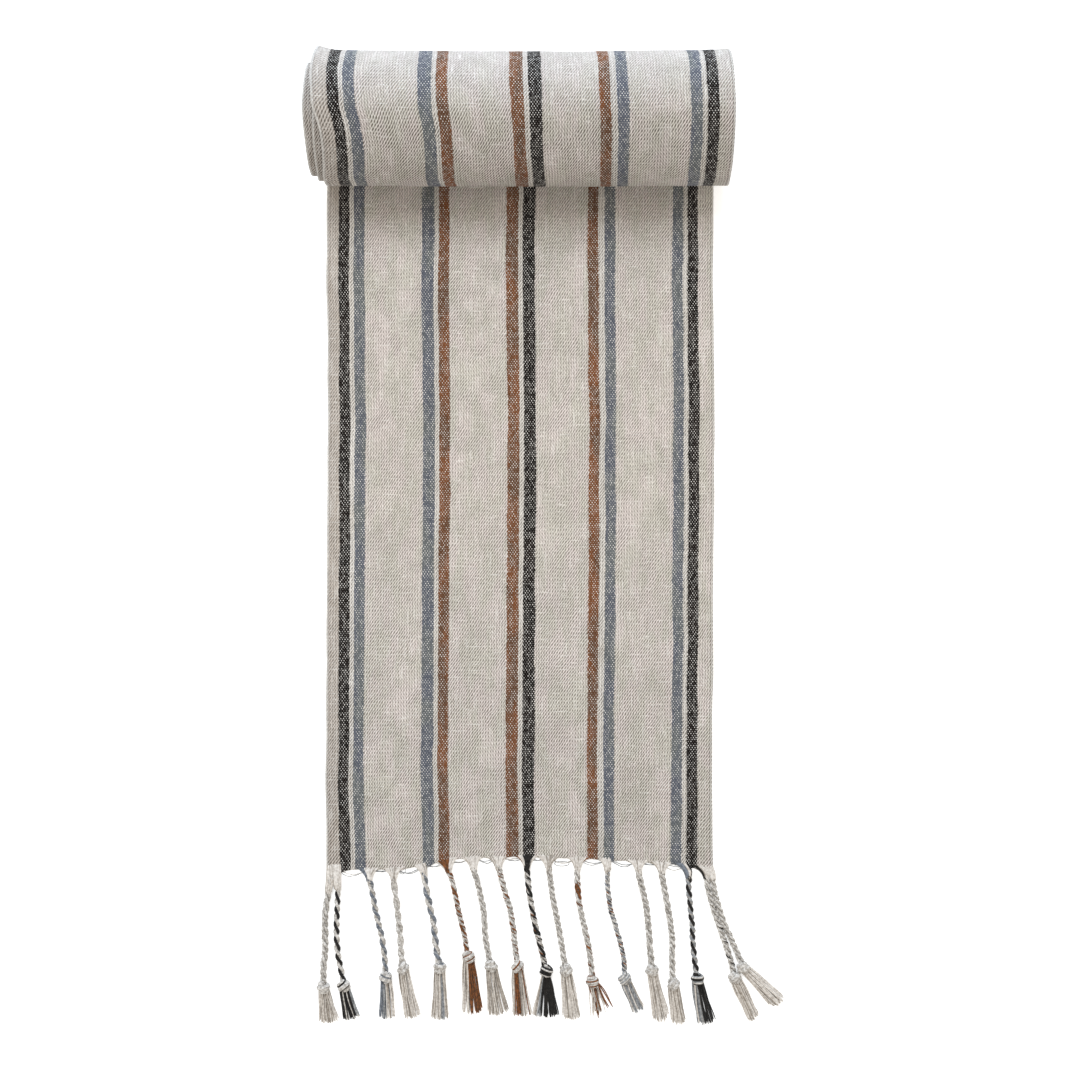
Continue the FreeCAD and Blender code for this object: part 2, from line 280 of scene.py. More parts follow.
# hand-loomed cotton: matt, with warp-faced stripes flecked by the pale weft and an uneven twill between them
def stripedCloth():
    material, tree = newMaterial("stripedHandloomCotton")
    plan = addNode(tree, "ShaderNodeUVMap", uv_map="plan")
    planX = addNode(tree, "ShaderNodeSeparateXYZ", [plan], output="X")
    across = addNode(tree, "ShaderNodeMath", [planX, 1 / mm], operation="MULTIPLY")
    along = addNode(tree, "ShaderNodeMath", [planX.node.outputs["Y"], 1 / mm], operation="MULTIPLY")

    uneven = {}
    for name, (acrossMm, alongMm, detail, roughness, *levels) in weave["uneven"].items():
        column = addNode(tree, "ShaderNodeMath", [across, 1 / acrossMm], operation="MULTIPLY")
        row = addNode(tree, "ShaderNodeMath", [along, 1 / alongMm], operation="MULTIPLY")
        place = addNode(tree, "ShaderNodeCombineXYZ", [column, row])
        value = addNode(tree, "ShaderNodeTexNoise",
                        {"Vector": place, "Scale": 1.0, "Detail": detail, "Roughness": roughness},
                        noise_dimensions="2D")
        uneven[name] = addNode(tree, "ShaderNodeMapRange", [value, *levels])

    # the yarns as cosines across and along; past the roll's foot the diagonal leans the other way
    acrossLoose = addNode(tree, "ShaderNodeMath", [across, uneven["wander"]], operation="ADD")
    alongLoose = addNode(tree, "ShaderNodeMath", [along, uneven["ramble"]], operation="ADD")
    turnOver = cloth["flat"] / mm + weave["backShowsMm"]
    seenFrom = addNode(tree, "ShaderNodeMapRange", [along, turnOver, turnOver + 2, -1, 1])
    lean = weave["twillMm"][0] / weave["twillMm"][1]
    slope = addNode(tree, "ShaderNodeMath", [alongLoose, lean], operation="MULTIPLY")
    slope = addNode(tree, "ShaderNodeMath", [slope, seenFrom], operation="MULTIPLY")
    diagonal = addNode(tree, "ShaderNodeMath", [acrossLoose, slope], operation="ADD")
    yarnWaves = {}
    for name, value, repeatMm in (("fleckColumns", acrossLoose, weave["fleckMm"][0]),
                                  ("fleckRows", alongLoose, weave["fleckMm"][1]),
                                  ("singleRows", alongLoose, weave["fleckMm"][1] / 2),
                                  ("twillColumns", acrossLoose, weave["twillMm"][0]),
                                  ("twillLines", diagonal, weave["twillMm"][0])):
        turn = addNode(tree, "ShaderNodeMath", [value, 2 * math.pi / repeatMm], operation="MULTIPLY")
        yarnWaves[name] = addNode(tree, "ShaderNodeMath", [turn], operation="COSINE")

    # the dyed warp, its stripes' borders stepping over each weft
    border = addNode(tree, "ShaderNodeMath", [across, uneven["stripeDrift"]], operation="ADD")
    border = addNode(tree, "ShaderNodeMath", [yarnWaves["singleRows"], weave["borderStepMm"], border],
                     operation="MULTIPLY_ADD")
    border = addNode(tree, "ShaderNodeMath", [border, uneven["stripeFray"]], operation="ADD")
    share = addNode(tree, "ShaderNodeMath", [border, mm / cloth["cut"][0]], operation="MULTIPLY")
    dyed = []
    for tone in (0, 1):
        stops, place = [], 0.0
        for width, yarn in stripes:
            isDark = 0.0 if yarn in ("cream", "selvedge", "white") else 1.0
            stops.append((place / sum(width for width, _ in stripes), srgb(warpTones[yarn][tone], isDark)))
            place += width
        dyed.append(addNode(tree, "ShaderNodeValToRGB", [share], stops=stops))
        dyed[-1].node.color_ramp.interpolation = "CONSTANT"
    dark = dyed[0].node.outputs["Alpha"]
    pale = addNode(tree, "ShaderNodeMath", [1.0, dark], operation="SUBTRACT")
    colour = addNode(tree, "ShaderNodeMix", {0: uneven["dye"], 6: dyed[0], 7: dyed[1]},
                     output=2, data_type="RGBA")

    # painted shade along the cloth: a little darker near the fringe, and darker over the roll, most from its
    # top onward
    alongShare = addNode(tree, "ShaderNodeMath", [along, mm / cloth["cut"][1]], operation="MULTIPLY")
    stops = [(at * mm / cloth["cut"][1], (tone, tone, tone, 1)) for at, tone in weave["paintedShadeAlong"]]
    paintedShade = addNode(tree, "ShaderNodeValToRGB", [alongShare], stops=stops)

    # shade between the cream yarns, in diagonal lines
    lattice = addNode(tree, "ShaderNodeMath", [yarnWaves["fleckColumns"], yarnWaves["fleckRows"]],
                      operation="MULTIPLY")
    twillShare = addNode(tree, "ShaderNodeMapRange", [uneven["square"], 0, 1, *weave["twillShare"]])
    squareShare = addNode(tree, "ShaderNodeMapRange", [uneven["square"], 0, 1, *weave["squareShare"]])
    twill = addNode(tree, "ShaderNodeMath", [yarnWaves["twillLines"], twillShare], operation="MULTIPLY")
    square = addNode(tree, "ShaderNodeMath", [lattice, squareShare], operation="MULTIPLY")
    field = addNode(tree, "ShaderNodeMath", [yarnWaves["twillColumns"], weave["columnShare"], twill],
                    operation="MULTIPLY_ADD")
    field = addNode(tree, "ShaderNodeMath", [field, square], operation="ADD")
    groove = addNode(tree, "ShaderNodeMapRange", [field, *weave["grooveLevels"], 1, 0])
    groove = addNode(tree, "ShaderNodeMath", [groove, pale], operation="MULTIPLY")
    depth = addNode(tree, "ShaderNodeMapRange", [paintedShade, 0.80, 1.0, *weave["grooveDepth"]])
    groove = addNode(tree, "ShaderNodeMath", [groove, depth], operation="MULTIPLY")
    colour = addNode(tree, "ShaderNodeMix", {0: groove, 6: colour, 7: srgb(weave["shadeInGrooves"])},
                     output=2, data_type="RGBA")

    # painted light: on the roll's back, which faces the lamps, the painted groove shade gives way to a flat
    # grey-cream
    stops = [(at * mm / cloth["cut"][1], (share, share, share, 1)) for at, share in weave["litBackAlong"]]
    worn = addNode(tree, "ShaderNodeValToRGB", [alongShare], stops=stops)
    worn = addNode(tree, "ShaderNodeMath", [worn, pale], operation="MULTIPLY")
    colour = addNode(tree, "ShaderNodeMix", {0: worn, 6: colour, 7: srgb(weave["worn"])},
                     output=2, data_type="RGBA")

    # the pale weft shows as staggered flecks on the dark warp, and as slubs everywhere
    paleWeft = srgb(weave["paleWeft"])
    fleck = addNode(tree, "ShaderNodeMapRange", [lattice, *weave["fleckLevels"], 0, 1])
    fleck = addNode(tree, "ShaderNodeMath", [fleck, uneven["fleck"]], operation="MULTIPLY")
    fleck = addNode(tree, "ShaderNodeMath", [fleck, dark], operation="MULTIPLY")
    fleck = addNode(tree, "ShaderNodeMath", [fleck, weave["fleckCover"]], operation="MULTIPLY")
    colour = addNode(tree, "ShaderNodeMix", {0: fleck, 6: colour, 7: paleWeft}, output=2, data_type="RGBA")
    slub = addNode(tree, "ShaderNodeMath", [uneven["weftSlub"], uneven["warpSlub"]], operation="MAXIMUM")
    slubShare = addNode(tree, "ShaderNodeMapRange", [dark, 0, 1, *weave["slubCover"]])
    slub = addNode(tree, "ShaderNodeMath", [slub, slubShare], operation="MULTIPLY")
    colour = addNode(tree, "ShaderNodeMix", {0: slub, 6: colour, 7: paleWeft}, output=2, data_type="RGBA")

    # the outermost yarns lie closer and paler, with painted shade in a narrow groove beside them
    half = cloth["cut"][0] / mm / 2
    fromMiddle = addNode(tree, "ShaderNodeMath", [across, half], operation="SUBTRACT")
    fromMiddle = addNode(tree, "ShaderNodeMath", [fromMiddle], operation="ABSOLUTE")
    begin, full, cover = weave["selvedge"]
    selvedge = addNode(tree, "ShaderNodeMapRange", [fromMiddle, half - begin, half - full, 0, cover])
    begin, full, cover = weave["furrowShade"]
    furrowShade = addNode(tree, "ShaderNodeMapRange", [fromMiddle, half - begin, half - full, 1.0, cover])
    colour = addNode(tree, "ShaderNodeVectorMath", {0: colour, "Scale": furrowShade}, operation="SCALE")
    colour = addNode(tree, "ShaderNodeMix", {0: selvedge, 6: colour, 7: paleWeft}, output=2, data_type="RGBA")
    tone = addNode(tree, "ShaderNodeMath", [uneven["patch"], uneven["grain"]], operation="MULTIPLY")
    tone = addNode(tree, "ShaderNodeMath", [tone, paintedShade], operation="MULTIPLY")
    colour = addNode(tree, "ShaderNodeVectorMath", {0: colour, "Scale": tone}, operation="SCALE")

    relief = addNode(tree, "ShaderNodeMath", [field, pale], operation="MULTIPLY")
    relief = addNode(tree, "ShaderNodeMath", [lattice, dark, relief], operation="MULTIPLY_ADD")
    relief = addNode(tree, "ShaderNodeMath", [slub, weave["slubHeight"], relief], operation="MULTIPLY_ADD")
    bump = addNode(tree, "ShaderNodeBump",
                   {"Height": relief, "Strength": 0.6, "Distance": weave["reliefMm"] * mm})
    bsdf = addNode(tree, "ShaderNodeBsdfPrincipled", {
        "Base Color": colour, "Roughness": 0.95, "Specular IOR Level": 0.04, "Sheen Weight": 0.03,
        "Sheen Roughness": 0.6, "Normal": bump})
    tree.links.new(bsdf, tree.nodes.new("ShaderNodeOutputMaterial").inputs["Surface"])
    return material


cotton = {"mottleMm": 2.2, "fibreMm": 0.5, "fibreHeightMm": 0.15, "deepBelow": 0.36, "paleAbove": 0.62}


# loosely spun cotton yarn: matt and a little fuzzy to the eye, its dye uneven; the deep spots of its mottle
# are also painted shade among the twisted fibres
def spunCotton(name, pale, deep):
    material, tree = newMaterial(name)
    place = addNode(tree, "ShaderNodeTexCoord", output="Object")
    mottle = addNode(tree, "ShaderNodeTexNoise", {
        "Vector": place, "Scale": 1 / (cotton["mottleMm"] * mm), "Detail": 3.0, "Roughness": 0.65})
    fibre = addNode(tree, "ShaderNodeTexNoise", {
        "Vector": place, "Scale": 1 / (cotton["fibreMm"] * mm), "Detail": 2.0})
    dye = addNode(tree, "ShaderNodeValToRGB", [mottle],
                  stops=[(cotton["deepBelow"], srgb(deep)), (cotton["paleAbove"], srgb(pale))])
    bump = addNode(tree, "ShaderNodeBump",
                   {"Height": fibre, "Strength": 0.4, "Distance": cotton["fibreHeightMm"] * mm})
    bsdf = addNode(tree, "ShaderNodeBsdfPrincipled", {
        "Base Color": dye, "Roughness": 0.92, "Specular IOR Level": 0.25,
        "Sheen Weight": 0.12, "Sheen Roughness": 0.5, "Normal": bump})
    tree.links.new(bsdf, tree.nodes.new("ShaderNodeOutputMaterial").inputs["Surface"])
    return material


yarns = {
    "c": spunCotton("creamCotton", "#D9D6D2", "#8B857E"),
    # d: a greyer cream yarn twisted into the cream cords, its darker tone painted shade in the twisted cords
    "d": spunCotton("shadeToneCreamCotton", "#BAB6B0", "#78726B"),
    "s": spunCotton("creamCottonEnds", "#DDD8D2", "#B7AFA7"),
    # t: darker cream ends, painted shade between the strands of skirts and roots
    "t": spunCotton("shadeToneCottonEnds", "#AEA69D", "#8A8177"),
    "k": spunCotton("charcoalCotton", "#24211F", "#0E0C0C"),
    "b": spunCotton("slateCotton", "#80858F", "#50565C"),
    "r": spunCotton("brownCotton", "#865129", "#4C331F"),
    "g": spunCotton("greyCotton", "#A0A2A4", "#6B6D70"),
}
yarnOf = {"cream": "c", "selvedge": "c", "white": "c", "charcoal": "k", "slate": "b", "brown": "r"}
slotOf = {"c": "cream_yarn", "k": "charcoal_yarn", "b": "slate_yarn", "r": "brown_yarn"}
print("materials made")


# left to right. route: below the root, metres across and ahead of the edge line, ending in the knot.
# plies: the yarns of each ply; pitch: length of one full twist; skirt yarns run left to right
tassels = [
    {"root": -0.1735, "end": (-0.176, -0.15),
     "route": [(-0.176, -0.028), (-0.179, -0.044), (-0.18, -0.0595), (-0.179, -0.075),
               (-0.18, -0.09), (-0.1815, -0.104), (-0.181, -0.1175)],
     "plies": ["cccc", "cdcc", "ccdc"], "pitch": 0.024, "thick": 0.0065,
     "yarns": "s", "spread": 0.0097,
     "gather": "s", "gatherFrom": (-0.1778, -0.1708), "gatherCount": 24, "gatherTop": 0.007, "gatherLong": 8},
    {"root": -0.168, "end": (-0.1555, -0.147),
     "route": [(-0.1675, -0.0255), (-0.168, -0.041), (-0.169, -0.0565), (-0.169, -0.072),
               (-0.1675, -0.087), (-0.165, -0.102), (-0.162, -0.116)],
     "plies": ["kkkk", "cccc"], "pitch": 0.0145,
     "knotYarns": "kkkcccccc", "yarns": "kkkkcckkkkkkckkkgcg", "spread": 0.008,
     "gather": "s", "gatherFrom": (-0.1735, -0.1652), "gatherCount": 26, "gatherTop": 0.007, "gatherLong": 6},
    {"root": -0.1395, "end": (-0.1225, -0.146),
     "route": [(-0.1365, -0.027), (-0.134, -0.043), (-0.13, -0.059), (-0.1265, -0.075),
               (-0.1245, -0.092), (-0.1235, -0.1085)],
     "plies": ["bgbb", "cccd"], "pitch": 0.0155,
     "knotYarns": "bbgcccccc", "yarns": "bbbbbgbgssssgsss", "spread": 0.0083},
    {"root": -0.1165, "end": (-0.0995, -0.1455),
     "route": [(-0.1155, -0.026), (-0.1135, -0.042), (-0.112, -0.0575), (-0.11, -0.072),
               (-0.1095, -0.0865), (-0.1075, -0.1)],
     "plies": ["cccc", "cdcc"], "pitch": 0.023, "thick": 0.0066,
     "yarns": "s", "spread": 0.0083},
    {"root": -0.0885, "end": (-0.074, -0.147),
     "route": [(-0.087, -0.023), (-0.0845, -0.0385), (-0.0805, -0.053), (-0.0785, -0.0685),
               (-0.077, -0.084), (-0.074, -0.099)],
     "plies": ["bgbb", "cccc"], "pitch": 0.018, "thick": 0.0066,
     "knotYarns": "ccccgbccc", "yarns": "sssssssssdgbgsss", "spread": 0.0083,
     "gather": "s", "gatherFrom": (-0.0975, -0.0865)},
    {"root": -0.0675, "end": (-0.044, -0.1415),
     "route": [(-0.063, -0.017), (-0.0595, -0.032), (-0.0565, -0.0475), (-0.053, -0.0625),
               (-0.05, -0.0765), (-0.0475, -0.0895)],
     "plies": ["rrR", "ccR", "rcR"], "pitch": 0.018, "thick": 0.0054,
     "knotYarns": "crccccrcc", "yarns": "sssssstrrrrrrrrr", "spread": 0.0102},
    {"root": -0.0445, "end": (-0.0205, -0.1425),
     "route": [(-0.04, -0.017), (-0.0365, -0.0325), (-0.033, -0.0495), (-0.0325, -0.066),
               (-0.0305, -0.0825), (-0.0265, -0.098)],
     "plies": ["cccc", "cdcc", "ccdc"], "pitch": 0.026,
     "yarns": "s", "spread": 0.0106},
    {"root": -0.021, "end": (0.002, -0.144),
     "route": [(-0.0175, -0.017), (-0.013, -0.0325), (-0.0085, -0.0485), (-0.006, -0.065),
               (-0.0045, -0.0815), (-0.002, -0.098)],
     "plies": ["cccc", "cRcc", "RRRc"], "pitch": 0.017,
     "knotYarns": "rrrrccccc", "yarns": "sstrrrrssssssrss", "spread": 0.0097},
    {"root": 0.006, "end": (0.0235, -0.1445),
     "route": [(0.007, -0.018), (0.009, -0.0345), (0.012, -0.052), (0.016, -0.0695),
               (0.0205, -0.086), (0.024, -0.1025)],
     "plies": ["kkkk", "ccKc", "KkRc"], "pitch": 0.019,
     "knotYarns": "kccccckkc", "yarns": "sssgkkkkkkkkkkkk", "spread": 0.0132, "count": 66, "neck": 0.5},
    {"root": 0.0255, "end": (0.048, -0.147),
     "route": [(0.028, -0.018), (0.03, -0.0355), (0.0335, -0.052), (0.0365, -0.0685),
               (0.0395, -0.0855), (0.042, -0.1015)],
     "plies": ["cccc", "cdcc", "ccdc"], "pitch": 0.02,
     "yarns": "s", "spread": 0.0088},
    {"root": 0.053, "end": (0.075, -0.1435),
     "route": [(0.0525, -0.02), (0.054, -0.039), (0.058, -0.0575), (0.0625, -0.076),
               (0.0655, -0.0945), (0.0665, -0.112)],
     "plies": ["cccc", "cRcc", "RRcR"], "pitch": 0.021, "patch": ((0, 1), 0.15, 0.29, "r"),
     "knotYarns": "crcccccrc", "yarns": "srssrrsrr", "spread": 0.0088, "count": 20, "loose": 1.0},
    {"root": 0.081, "end": (0.109, -0.14),
     "route": [(0.08, -0.021), (0.082, -0.039), (0.0865, -0.0575), (0.092, -0.075),
               (0.096, -0.0925), (0.0965, -0.1095)],
     "plies": ["cbR", "bcK", "gcR"], "pitch": 0.016, "thick": 0.0052,
     "knotYarns": "ggrgcccgc", "yarns": "gsggsgbgs", "spread": 0.0066, "count": 22,
     "gather": "s", "gatherFrom": (0.0735, 0.0835)},
    {"root": 0.1085, "end": (0.1305, -0.149),
     "route": [(0.1105, -0.02), (0.115, -0.0365), (0.1175, -0.053), (0.1185, -0.0695),
               (0.12, -0.086), (0.1215, -0.102)],
     "plies": ["cccc", "cdcc", "ccdc"], "pitch": 0.022, "thick": 0.0065,
     "yarns": "s", "spread": 0.0078, "rounded": 0.14},
    {"root": 0.13, "end": (0.1465, -0.1515),
     "route": [(0.132, -0.0215), (0.1355, -0.041), (0.139, -0.0595), (0.1405, -0.078),
               (0.14, -0.0965), (0.141, -0.1145)],
     "plies": ["cccc", "cdcc", "ccdc"], "pitch": 0.021, "thick": 0.0063,
     "yarns": "s", "spread": 0.0075, "rounded": 0.14},
    {"root": 0.1555, "end": (0.1715, -0.151),
     "route": [(0.155, -0.0225), (0.1565, -0.04), (0.1585, -0.0575), (0.159, -0.075),
               (0.1605, -0.0925), (0.163, -0.1095)],
     "plies": ["kkkk", "gggd"], "pitch": 0.0135,
     "knotYarns": "kkkkkkgck", "yarns": "ggsgggskkkkkkkkk", "spread": 0.0088,
     "gatherFrom": (0.143, 0.1555)},
    {"root": 0.1713, "end": (0.2155, -0.147),
     "route": [(0.1725, -0.0245), (0.177, -0.042), (0.1825, -0.0595), (0.1885, -0.076),
               (0.194, -0.0925), (0.1975, -0.1085)],
     "plies": ["ccc", "cdc", "ccK"], "pitch": 0.018, "thick": 0.006,
     "yarns": "s", "spread": 0.0066,
     "gatherFrom": (0.158, 0.1735)},
    {"root": 0.177, "end": (0.2395, -0.133),
     "route": [(0.1772, -0.0225), (0.1817, -0.04), (0.1872, -0.0575), (0.1938, -0.0725),
               (0.2005, -0.0865), (0.2055, -0.0995)],
     "plies": ["ccc", "cdc", "ccc"], "pitch": 0.02, "thick": 0.006,
     "yarns": "s", "spread": 0.0082, "rounded": 0.12},
]
fringe = {
    "thick": 0.006,            # cord
    "rootClearance": 0.0005,
    "knotRadius": 0.005,
    "knotYarns": "cccdcccc",
    "step": 0.0012,            # spacing of the points that a yarn follows
    "floor": 0.0001,           # nothing lies lower
    "bend": (0.005, -0.008),   # where a cord starts and stops bending when it lifts, ahead of its root
    "edgeHalf": 0.1775,        # outermost warp yarn
    "rootHalf": 0.0095,        # the most cloth that one cord gathers on a side
}


# points a step apart along the smooth line that the route's points control
def routeLine(points, step):
    curve = bpy.data.curves.new("route", "CURVE")
    curve.dimensions = "3D"
    spline = curve.splines.new("NURBS")
    spline.points.add(len(points) - 1)
    for point, place in zip(spline.points, points):
        point.co = (*place, 1)
    spline.order_u = 3
    spline.use_endpoint_u = True
    curve.resolution_u = 12
    holder = bpy.data.objects.new("route", curve)
    mesh = bpy.data.meshes.new_from_object(holder)
    line = [vertex.co.copy() for vertex in mesh.vertices]
    bpy.data.meshes.remove(mesh)
    bpy.data.objects.remove(holder)
    return evenly(line, step)


# the same line with its points the same distance apart
def evenly(line, step):
    lengths = [0.0]
    for a, b in zip(line, line[1:]):
        lengths.append(lengths[-1] + (b - a).length)
    count = max(2, round(lengths[-1] / step))
    spaced, at = [], 0
    for number in range(count + 1):
        goal = lengths[-1] * number / count
        while at < len(line) - 2 and lengths[at + 1] < goal:
            at += 1
        share = (goal - lengths[at]) / max(lengths[at + 1] - lengths[at], 1e-9)
        spaced.append(line[at].lerp(line[at + 1], share))
    return spaced


def lineLength(line):
    return sum((b - a).length for a, b in zip(line, line[1:]))


# one mesh of round yarns; a strand is its points, its radius and the letter of its yarn
def yarnMesh(name, strands):
    letters = sorted({letter for _, _, letter in strands})
    curve = bpy.data.curves.new(name, "CURVE")
    curve.dimensions = "3D"
    curve.bevel_depth = 1.0
    curve.bevel_resolution = 1
    curve.use_fill_caps = True
    for letter in letters:
        curve.materials.append(yarns[letter])
    for points, radius, letter in strands:
        spline = curve.splines.new("POLY")
        spline.points.add(len(points) - 1)
        for number, place in enumerate(points):
            spline.points[number].co = (*place, 1)
            thin = 0.6 if number in (0, len(points) - 1) else 1.0
            spline.points[number].radius = radius * thin
        spline.material_index = letters.index(letter)
        spline.use_smooth = True
    holder = bpy.data.objects.new(name, curve)
    mesh = bpy.data.meshes.new_from_object(holder)
    bpy.data.objects.remove(holder)
    mesh.name = name
    piece = bpy.data.objects.new(name, mesh)
    scene.collection.objects.link(piece)
    return piece


# tangent, side and upward direction at each point of a line
def framesAlong(line, up):
    frames = []
    for number, point in enumerate(line):
        before, after = line[max(number - 1, 0)], line[min(number + 1, len(line) - 1)]
        tangent = (after - before).normalized()
        side = tangent.cross(up).normalized()
        frames.append((point, tangent, side, side.cross(tangent)))
    return frames


# a capital letter is a yarn that shows its dye only in places
def pickLetter(letter, along, seed):
    if letter.islower():
        return letter
    return letter.lower() if wave(along / 0.006, seed * 2.3) > -0.02 else "c"


# splits one yarn where its colour changes
def runsOf(points, letters, radius):
    strands, begin = [], 0
    for number in range(1, len(points) + 1):
        if number == len(points) or letters[number] != letters[begin]:
            run = points[begin:number + 1]
            if len(run) > 1:
                strands.append((run, radius, letters[begin]))
            begin = number
    return strands


twist = {
    "plyOut": {2: 0.225, 3: 0.285},      # from the cord's middle to a ply's, for two or three plies
    "yarnShare": {3: 0.56, 4: 0.52},     # a yarn's radius in its ply's, for three or four yarns
    "yarnBite": 0.9,
    "counterPitch": 0.62,                # a ply's own pitch in the cord's, the other way round
    "slack": (1.3, 0.022),               # how far the turns run ahead or behind, and over what length
    "swell": (0.20, 0.011),
    "wobble": (0.0004, 0.012),
}


# plies twisted round a line, and yarns twisted the other way in each ply
def twistedStrands(line, plies, thick, pitch, seed, up=Vector((0, 0, 1)), floor=None, patch=None):
    frames = framesAlong(line, up)
    total = lineLength(line)
    plyOut = twist["plyOut"][len(plies)] * thick
    plyRadius = thick / 2 - plyOut
    slackTurn, slackLength = twist["slack"]
    swellShare, swellLength = twist["swell"]
    wobbleOut, wobbleLength = twist["wobble"]
    strands = []
    for plyNumber, plyLetters in enumerate(plies):
        yarnRadius = plyRadius * twist["yarnShare"][len(plyLetters)]
        yarnOut = plyRadius - yarnRadius * twist["yarnBite"]
        for yarnNumber, yarnLetter in enumerate(plyLetters):
            points, letters = [], []
            for number, (centre, tangent, side, above) in enumerate(frames):
                along = total * number / (len(frames) - 1)
                slack = slackTurn * wave(along / slackLength, seed * 3.1)
                swell = 1 + swellShare * wave(along / swellLength, seed * 1.7 + plyNumber)
                turn = 2 * math.pi * (along / pitch + plyNumber / len(plies)) + slack
                outward = side * math.cos(turn) + above * math.sin(turn)
                sideways = tangent.cross(outward)
                counter = yarnNumber / len(plyLetters) + along / (pitch * twist["counterPitch"])
                own = -2 * math.pi * counter + seed
                place = centre + side * wobbleOut * wave(along / wobbleLength, seed * 0.9, 4)
                place = place + outward * plyOut * swell
                place = place + (outward * math.cos(own) + sideways * math.sin(own)) * yarnOut * swell
                if floor is not None:
                    place.z = max(place.z, floor + yarnRadius)
                points.append(place)
                letter = pickLetter(yarnLetter, along, seed + yarnNumber)
                if patch and plyNumber in patch[0] and patch[1] < along / total < patch[2]:
                    letter = patch[3]
                letters.append(letter)
            strands += runsOf(points, letters, yarnRadius)
    return strands


# sizes in knot radii
knot = {
    "rope": 0.5,                         # the strand that makes the knot
    "out": 1.26,
    "drift": 1.5,                        # how far its turns travel along the cord
    "core": (-1.15, -0.4, 0.4, 1.15),    # the cord seen inside it
    "turns": 2.1,
    "points": 44,
    "lean": (0.42, 0.22),                # how far the turns lie aslant, and how that varies from knot to knot
    "tuckedIn": (0.2, 0.15, 0.6),        # share of each end that dives into the cord, how deep, how round
    "yarns": 9,
    "yarnShare": 0.36,                   # a yarn's radius in the strand's
    "yarnTurn": 0.3,
}


# an overhand knot pulled tight: a thick strand wound twice round the cord, aslant
def knotStrands(centre, along, up, letters, radius, seed, floor=None):
    side = along.cross(up).normalized()
    leanMiddle, leanRange = knot["lean"]
    lean = (leanMiddle + leanRange * math.sin(seed * 5)) * (1 if seed % 2 else -1)
    axis = (along * math.cos(lean) + side * math.sin(lean)).normalized()
    acrossAxis = axis.cross(up).normalized()
    ropeRadius = radius * knot["rope"]
    endShare, deep, roundness = knot["tuckedIn"]
    count = knot["points"]
    coil = []
    for number in range(count + 1):
        share = number / count
        turn = -2 * math.pi * knot["turns"] * share + seed * 1.3
        ends = min(share, 1 - share) / endShare
        out = (radius * knot["out"] - ropeRadius) * (deep + (1 - deep) * min(1.0, ends) ** roundness)
        drift = (share - 0.5) * radius * knot["drift"]
        coil.append(centre + axis * drift + (acrossAxis * math.cos(turn) + up * math.sin(turn)) * out)
    strands = []
    frames = framesAlong(coil, axis)
    yarnRadius = ropeRadius * knot["yarnShare"]
    for yarnNumber in range(knot["yarns"]):
        letter = letters[yarnNumber % len(letters)]
        points = []
        for number, (place, _, outward, sideways) in enumerate(frames):
            own = 2 * math.pi * (yarnNumber / knot["yarns"] + knot["yarnTurn"] * number / count)
            spot = place + (outward * math.cos(own) + sideways * math.sin(own)) * (ropeRadius - yarnRadius)
            if floor is not None:
                spot.z = max(spot.z, floor + yarnRadius)
            points.append(spot)
        strands.append((points, yarnRadius, letter))
    core = [centre + along * radius * place for place in knot["core"]]
    strands.append((core, ropeRadius, letters[4]))
    return strands


skirt = {
    "count": 40,
    "yarn": 0.0005,                      # radius
    "yarnVaries": (0.8, 1.25),
    # a share of the cream yarns drawn in the darker cream, painted shade between the strands
    "shadeStrandShare": 0.24,                      # share of the cream yarns
    "locks": (5, 0.28),                  # ends cling together: how many locks, how strongly
    "lengthVaries": (-0.0022, 0.0016),
    "spreadVaries": (0.88, 1.03),
    "levels": (0.0, 0.33, 0.66, 1.0),    # layers of yarn, from the surface up
    "depth": 0.0036,
    "neck": 0.0042,                      # half width below the knot
    "fan": 0.78,                         # under 1 opens early
    "sway": 0.0008,
    "points": 13,
}


# loose yarn ends fanning out below a knot; bendTo lays them along a curved wall
def skirtStrands(start, end, up, settings, seed, bendTo=None):
    rng = random.Random(seed)
    along = (end - start).normalized()
    side = along.cross(up).normalized() * -1
    length = (end - start).length
    letters = settings["yarns"]
    count = settings.get("count", skirt["count"])
    loose = settings.get("loose", 0.0)
    lockCount, cling = skirt["locks"]
    strands = []
    for number in range(count):
        share = (number + 0.5) / count
        fromMiddle = 2 * share - 1
        letter = letters[min(int(share * len(letters)), len(letters) - 1)]
        if letter == "s" and rng.random() < skirt["shadeStrandShare"]:
            letter = "t"
        lock = (math.floor(share * lockCount) + 0.5) / lockCount
        lateral = (1 - cling) * fromMiddle + cling * (2 * lock - 1)
        lateral = lateral * settings["spread"] * rng.uniform(*skirt["spreadVaries"])
        level = rng.choice(skirt["levels"])
        rounding = settings.get("rounded", 0.05)
        reach = length * (1.01 - rounding * abs(fromMiddle) ** 2.4) + rng.uniform(*skirt["lengthVaries"])
        if loose:
            lateral += loose * rng.uniform(-0.004, 0.006)
            reach += loose * rng.uniform(-0.006, 0.004)
        sway = rng.uniform(-1, 1) * skirt["sway"]
        domed = 1 - fromMiddle ** 2 * 0.75
        points = []
        for step in range(skirt["points"] + 1):
            t = step / skirt["points"]
            neck = fromMiddle * skirt["neck"] * settings.get("neck", 1.0) * (1 - t) ** 1.5
            place = start + along * (reach * t) + side * (neck + lateral * t ** skirt["fan"])
            place = place + side * sway * math.sin(math.pi * (1.6 * t + share * 3))
            drop = (1 - t) ** 2
            height = skirt["yarn"] + level * skirt["depth"] * (1 - 0.55 * t) * domed
            lift = height * (1 - drop) + drop * (fringe["thick"] * 0.5 + (level - 0.5) * 0.003)
            points.append(place + up * lift)
        if bendTo:
            points = [bendTo(point) for point in points]
        strands.append((points, skirt["yarn"] * rng.uniform(*skirt["yarnVaries"]), letter))
    return strands


